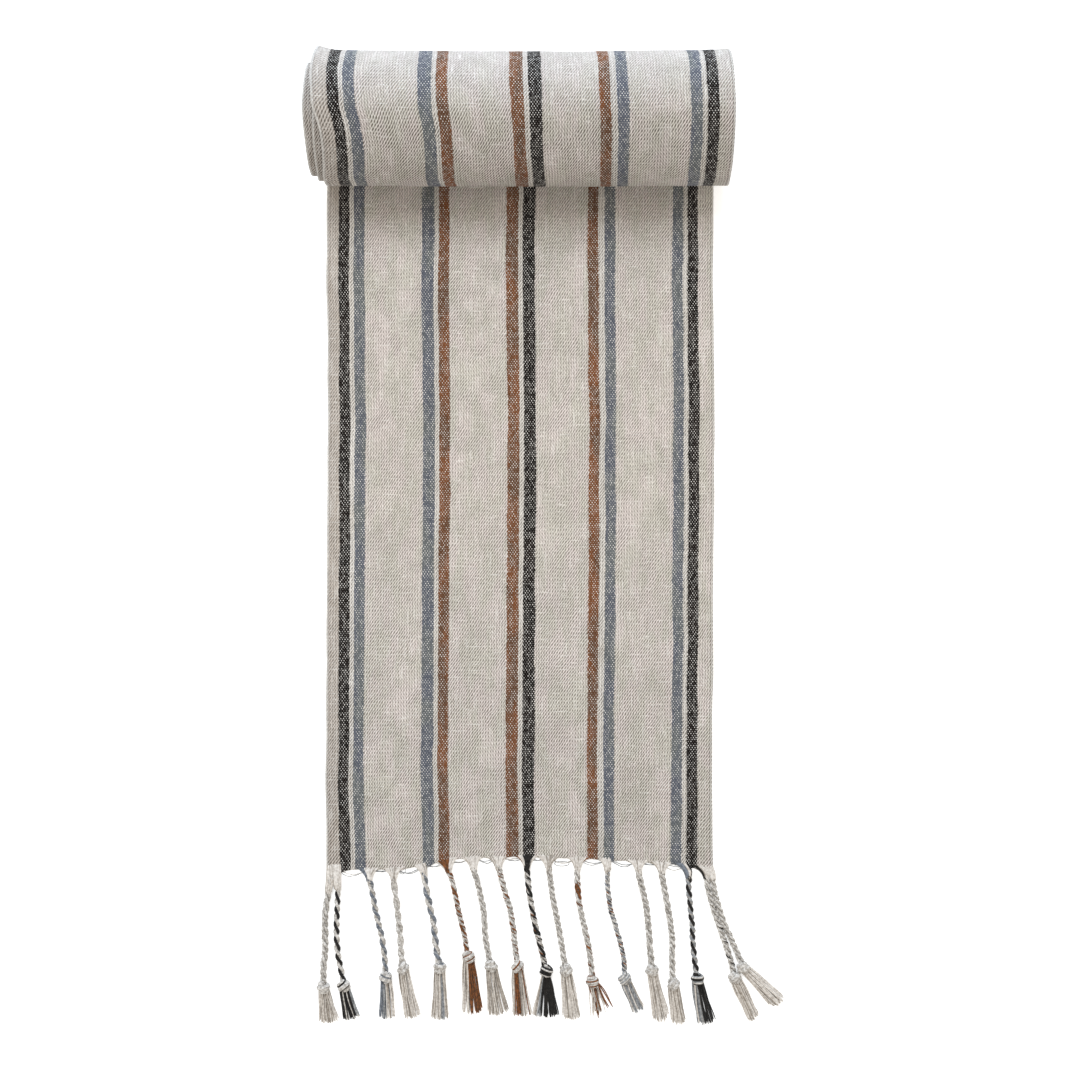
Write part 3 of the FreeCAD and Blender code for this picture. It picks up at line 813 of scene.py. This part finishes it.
gather = {
    "count": 18,                         # warp yarns drawn together at a root
    "yarn": 0.00066,
    "yarnVaries": (0.9, 1.15),
    # a share of the cream yarns drawn in the darker cream, painted shade between the strands
    "shadeStrandShare": 0.2,
    "top": 0.0035,                       # how far up the cloth they start
    "topVaries": (-0.0008, 0.0012),
    "apart": 0.0004,
    "reach": (1.5, 5.5),                 # how many steps along the cord they end
    "startHeight": 0.0014,
    "lowest": 0.0008,
    "points": 12,
}


# warp yarns drawn together from the cloth's edge into a cord's root
def gatherStrands(settings, neighbours, line, seed):
    rng = random.Random(seed + 100)
    left, right = neighbours
    frames = framesAlong(line, Vector((0, 0, 1)))
    long = settings.get("gatherLong", 0)
    half = fringe["edgeHalf"]
    strands = []
    count = settings.get("gatherCount", gather["count"])
    for number in range(count):
        share = (number + 0.5) / count
        x = left + (right - left) * share + rng.uniform(-gather["apart"], gather["apart"])
        letter = settings.get("gather") or yarnOf[stripeAt(max(min(x, half), -half))].replace("c", "s")
        if letter == "s" and rng.random() < gather["shadeStrandShare"]:
            letter = "t"
        top = edgeAt(x) + settings.get("gatherTop", gather["top"]) + rng.uniform(*gather["topVaries"])
        start = Vector((x, top, gather["startHeight"]))
        index = min(int(rng.uniform(*gather["reach"])) + long, len(frames) - 1)
        centre, tangent, side, above = frames[index]
        own = math.pi * (0.04 + 0.92 * share)    # spread over the cord's upper half
        goal = centre + (side * math.cos(own) + above * math.sin(own)) * fringe["thick"] * 0.43
        points = []
        for step in range(gather["points"] + 1):
            t = step / gather["points"]
            ease = t * t * (3 - 2 * t)
            place = start.lerp(goal, t)
            if long:
                place.x = start.x + (goal.x - start.x) * t ** 1.8
                place.z += 0.0012 * math.sin(math.pi * t)
            else:
                place.x = start.x + (goal.x - start.x) * (0.25 * t + 0.75 * ease)
                place.y = start.y + (goal.y - start.y) * (0.55 * t + 0.45 * t ** 3)
            place.z = max(place.z, gather["lowest"])
            points.append(place)
        strands.append((points, gather["yarn"] * rng.uniform(*gather["yarnVaries"]), letter))
    return strands


def makeTassel(number, settings):
    name = f"{number + 1:02d}"
    body = "tassel_16_17" if number >= 15 else f"tassel_{name}"
    up = Vector((0, 0, 1))
    thick = settings.get("thick", fringe["thick"])
    height = fringe["thick"] / 2
    root = Vector((settings["root"], edgeAt(settings["root"]) - height - fringe["rootClearance"], height))
    route = [root] + [Vector((x, edgeY + y, height)) for x, y in settings["route"]]
    line = routeLine(route, fringe["step"])
    strands = twistedStrands(line, settings["plies"], thick, settings["pitch"], number + 1,
                             floor=fringe["floor"], patch=settings.get("patch"))
    cordPiece = yarnMesh(f"cord{name}", strands)
    end = Vector((settings["end"][0], edgeY + settings["end"][1], height))
    knotCentre = Vector((line[-1].x, line[-1].y, fringe["knotRadius"]))
    along = ((end - line[-1]).normalized() + (line[-1] - line[-6]).normalized()).normalized()
    strands = knotStrands(knotCentre, along, up, settings.get("knotYarns", fringe["knotYarns"]),
                          fringe["knotRadius"], number + 1, floor=fringe["floor"])
    knotPiece = yarnMesh(f"knot{name}", strands)
    skirtStart = line[-1] + (end - line[-1]).normalized() * 0.0015
    skirtStart.z = end.z = 0.0
    skirtPiece = yarnMesh(f"skirt{name}", skirtStrands(skirtStart, end, up, settings, number + 1))

    # a root gathers the cloth up to halfway to its neighbours
    roots = [-fringe["edgeHalf"]] + [tassel["root"] for tassel in tassels] + [fringe["edgeHalf"]]
    before, own, after = roots[number:number + 3]
    left = max((before + own) / 2 if number else before, own - fringe["rootHalf"])
    right = min((after + own) / 2 if number < len(tassels) - 1 else after, own + fringe["rootHalf"])
    left, right = settings.get("gatherFrom", (left, right))
    gatherPiece = yarnMesh(f"gather{name}", gatherStrands(settings, (left, right), line, number + 1))

    for piece in (cordPiece, gatherPiece):
        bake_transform(piece)
    for piece in (knotPiece, skirtPiece):
        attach(piece, body)
    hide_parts(f"cord_{name}")
    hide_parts(f"knot_{name}")
    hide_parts(f"skirt_{name}")
    plyLetters = "".join(settings["plies"]).lower()
    weight = {letter: plyLetters.count(letter) + (1.5 if letter != "c" else 0) for letter in "ckbr"}
    mainYarn = slotOf[max(weight, key=weight.get)]


for number, settings in enumerate(tassels):
    makeTassel(number, settings)
print("tassels made")


# centre height, radius, start angle and start distance of each half turn
def rolledTurns():
    low, high = cloth["thickness"] / 2, cloth["thickness"] / 2 + 2 * rollRadius
    turns, distance = [], cloth["flat"]
    for number in range(8):
        radius = (high - low) / 2
        turns.append((low + radius, radius, math.pi * (number % 2), distance))
        distance += math.pi * radius
        if number % 2:
            high -= cloth["stepHigh"]
        else:
            low += cloth["stepLow"]
    return turns


halfTurns = rolledTurns()


# where the cloth's middle surface lies, that far along it
def clothPlace(x, distance):
    fromMiddle = x / (cloth["cut"][0] / 2)
    sway = 0.0006 * wave(0.3, distance / 0.05, 7)
    sway += 0.0008 * fromMiddle ** 9 * wave(x / 0.3, distance / 0.045, 8)
    if distance < cloth["flat"]:
        sway += between(cloth["sway"], distance / mm) * mm
        sway -= x * cloth["drawnIn"] * max(0.0, 1 - distance / 0.07) * (1 - abs(fromMiddle) ** 16)
        edgeFade = max(0.0, 1 - distance / 0.05)
        rollFade = min(1.0, (cloth["flat"] - distance) / 0.06)
        swell = wave(x / 0.10, distance / 0.055, 1) * 0.6
        swell += wave(x / 0.045 + distance / 0.09, distance / 0.035, 2) * 0.4
        lift = cloth["swell"] * (0.75 + swell) * rollFade
        crease = wave(x / 0.030 - distance / 0.05, distance / 0.075, 9)
        crease += 0.5 * wave(x / 0.012, distance / 0.03, 10)
        lift += cloth["crease"] * (crease + 0.3) * rollFade
        lift += cloth["curl"] * abs(fromMiddle) ** 14 * (0.6 + wave(distance / 0.06, x, 11)) * rollFade
        lift = max(lift, 0.0) * (1 - 0.5 * edgeFade)
        return Vector((x + sway, edgeY + distance, cloth["thickness"] / 2 + lift))
    for number, (centreZ, radius, startAngle, startDistance) in enumerate(halfTurns):
        if distance <= startDistance + math.pi * radius:
            break
    angle = startAngle + (distance - startDistance) / radius
    turns = number / 2 + (angle - startAngle) / (2 * math.pi)
    free = (1 - math.cos(angle)) / 2
    out = 0.0007 * free * wave(x / 0.07, distance / 0.06, 3)
    out += 0.0004 * free * wave(x / 0.02, distance / 0.05, 12)
    out += 0.0003 * free * wave(x / 0.009, distance / 0.08, 13)   # fine upright creases
    out += 0.0012 * free * abs(fromMiddle) ** 10 * (0.5 + wave(distance / 0.03, x, 4))
    out += cloth["lip"] * max(0.0, (-x - 0.164) / 0.014) * math.exp(-((turns - 0.29) / 0.07) ** 2)
    radius += out
    sway += between(cloth["creep"], turns) * mm + 0.0006 * wave(distance / 0.05, 0.5, 5)
    sway += between(cloth["skew"], turns) * mm * -fromMiddle
    sway += between(cloth["leftDrift"], turns) * mm * max(0.0, -fromMiddle)
    pulled = min(1.0, max(0.0, (turns - 0.27) * 10)) * max(0.0, 1 - turns / 1.6)
    sway -= cloth["margin"] * max(0.0, -x / 0.011 - 15.2) * pulled
    y = rollY + radius * math.sin(angle) - cloth["bow"] * (1 - fromMiddle ** 2) * free
    return Vector((x + sway, y, centreZ - radius * math.cos(angle)))


def makeCloth():
    width, length = cloth["cut"]
    fineRows, fineStep = cloth["edgeRows"]
    rowCount = fineRows + cloth["rows"]
    roots = [t["root"] for t in tassels]
    bm = bmesh.new()
    bmesh.ops.create_grid(bm, x_segments=cloth["across"], y_segments=rowCount, size=0.5)
    plan = bm.loops.layers.uv.new("plan")
    places = {}
    for vertex in bm.verts:
        x = vertex.co.x * width
        row = round((vertex.co.y + 0.5) * rowCount)
        if row <= fineRows:
            distance = row * fineStep
        else:
            distance = fineRows * fineStep + (row - fineRows) * (length - fineRows * fineStep) / cloth["rows"]
        near = min(abs(x - root) for root in roots)
        start = between(cloth["edge"], x) - 0.0008 + 0.0008 * wave(x / 0.004, 0.2)
        start += cloth["scallop"] * (1 - math.exp(-(near / cloth["scallopWidth"]) ** 2))
        fade = max(0.0, 1 - distance / cloth["edgeFade"])
        along = distance + start * fade * fade
        places[vertex] = (x, along)
    for face in bm.faces:
        for loop in face.loops:
            x, along = places[loop.vert]
            loop[plan].uv = (x + width / 2, along)
    for vertex, (x, along) in places.items():
        vertex.co = clothPlace(x, along)
    for face in bm.faces:
        face.smooth = True
    mesh = bpy.data.meshes.new("cloth")
    bm.to_mesh(mesh)
    bm.free()
    piece = bpy.data.objects.new("stripedCloth", mesh)
    scene.collection.objects.link(piece)
    solid = piece.modifiers.new("thickness", "SOLIDIFY")
    solid.thickness, solid.offset = cloth["thickness"], 0.0
    mesh.materials.append(stripedCloth())
    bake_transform(piece)
    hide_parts("cloth_flat", "cloth_roll")


makeCloth()
print("cloth laid and rolled")


edgeThreads = {
    "seed": 31,
    "threads": (2, 2, 3),                # between two roots
    "bow": (0.04, 0.19),                 # how far one hangs out, by the distance it spans
    "lean": (0.7, 1.5),                  # where the bow is deepest
    "radius": (0.00026, 0.0004),
    "clear": 0.0022,                     # of the cord's middle
    "points": 16,
    # slack weft that stands out as a loop: place across, place ahead of the edge line, half width, half depth
    "loops": [(-0.1085, -0.0105, 0.0030, 0.0035), (0.0385, -0.0045, 0.0068, 0.0022)],
    "loopRadius": 0.0003,
}


def makeEdgeThreads():
    rng = random.Random(edgeThreads["seed"])
    clear, steps = edgeThreads["clear"], edgeThreads["points"]
    roots = [t["root"] for t in tassels[:-1]]
    strands = []
    for left, right in zip(roots, roots[1:]):
        for turn in range(rng.choice(edgeThreads["threads"])):
            bow = rng.uniform(*edgeThreads["bow"]) * (right - left)
            lean = rng.uniform(*edgeThreads["lean"])
            points = []
            for step in range(steps + 1):
                t = step / steps
                x = left + clear + (right - left - 2 * clear) * t
                y = edgeAt(x) + 0.0014 - bow * math.sin(math.pi * t ** lean)
                y += 0.0006 * wave(x / 0.004, turn + 2)
                points.append(Vector((x, y, 0.0008 + 0.0005 * turn)))
            strands.append((points, rng.uniform(*edgeThreads["radius"]), rng.choice("ggc")))
    for x, y, wide, deep in edgeThreads["loops"]:
        loop = []
        for step in range(19):
            turn = 2 * math.pi * step / 18
            loop.append(Vector((x + wide * math.cos(turn), edgeY + y + deep * math.sin(turn), 0.0012)))
        strands.append((loop, edgeThreads["loopRadius"], "g"))
    piece = yarnMesh("edgeThreads", strands)
    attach(piece, "cloth")
    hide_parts("edge_threads")


makeEdgeThreads()
print("edge threads made")


innerFringe = {
    "count": 17, "pitch": 0.0216, "creep": -0.005,
    "angles": (243, 266, 290, 314, 338, 357),     # degrees round the core from straight down
    "radii": (0.0412, 0.0402, 0.0396, 0.0396, 0.0396, 0.0396),
    "knotAt": (0.0374, 364),                      # distance from the core's middle, degrees
    "skirtRadius": 0.0396, "skirtFrom": 5, "skirtSweep": 52, "skirtClear": 0.0022,
    "sway": 2.0 * mm, "step": 2.2 * mm, "twistPitch": 0.02,
    "skirt": {"spread": 0.006, "count": 16},
    "plies": (["ccc", "ccc"], ["kkk", "ccc"], ["rrr", "ccc"]),
}


def makeInnerFringe():
    coreZ = halfTurns[6][0]
    endZ, endRadius, endStart, endDistance = halfTurns[7]
    endAngle = endStart + (cloth["cut"][1] - endDistance) / endRadius
    for number in range(innerFringe["count"]):
        name = f"{number + 1:02d}"
        x = innerFringe["creep"] + (number - (innerFringe["count"] - 1) / 2) * innerFringe["pitch"]
        sway = innerFringe["sway"] * math.sin(2.4 * number)
        rootAngle = endAngle + (fringe["thick"] / 2 + fringe["rootClearance"]) / endRadius
        points = [Vector((x, rollY + endRadius * math.sin(rootAngle),
                          endZ - endRadius * math.cos(rootAngle)))]
        for step, (degrees, radius) in enumerate(zip(innerFringe["angles"], innerFringe["radii"])):
            turn = math.radians(degrees)
            points.append(Vector((x + sway * step / 3, rollY + radius * math.sin(turn),
                                  coreZ - radius * math.cos(turn))))
        line = routeLine(points, innerFringe["step"])
        cream, charcoal, brown = innerFringe["plies"]
        plies = cream if number % 3 else charcoal if number % 2 else brown
        strands = twistedStrands(line, plies, fringe["thick"], innerFringe["twistPitch"], number + 40,
                                 up=Vector((1, 0, 0)))
        cordPiece = yarnMesh(f"innerCord{name}", strands)
        knotRadiusOut, knotDegrees = innerFringe["knotAt"]
        turn = math.radians(knotDegrees)
        centre = Vector((line[-1].x, rollY + knotRadiusOut * math.sin(turn),
                         coreZ - knotRadiusOut * math.cos(turn)))
        strands = knotStrands(centre, Vector((0, 1, 0)), Vector((0, 0, 1)), "".join(plies),
                              fringe["knotRadius"], number + 3)
        knotPiece = yarnMesh(f"innerKnot{name}", strands)

        # wraps a skirt laid out along +Y from the lowest point on to the core's wall
        def upTheWall(point):
            turn = math.radians(innerFringe["skirtFrom"]) + point.y / innerFringe["skirtRadius"]
            out = innerFringe["skirtRadius"] + innerFringe["skirtClear"] - point.z
            return Vector((point.x, rollY + out * math.sin(turn), coreZ - out * math.cos(turn)))

        reach = innerFringe["skirtRadius"] * math.radians(innerFringe["skirtSweep"])
        skirtSettings = {"yarns": plies[0][0] + "c", **innerFringe["skirt"]}
        strands = skirtStrands(Vector((centre.x, 0, 0)), Vector((centre.x, reach, 0)), Vector((0, 0, 1)),
                               skirtSettings, number + 60, bendTo=upTheWall)
        skirtPiece = yarnMesh(f"innerSkirt{name}", strands)
        for piece, node in ((cordPiece, "inner_cords"), (knotPiece, "inner_knots"),
                            (skirtPiece, "inner_skirts")):
            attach(piece, "roll")
            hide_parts(node)


makeInnerFringe()
print("rolled-in fringe made")
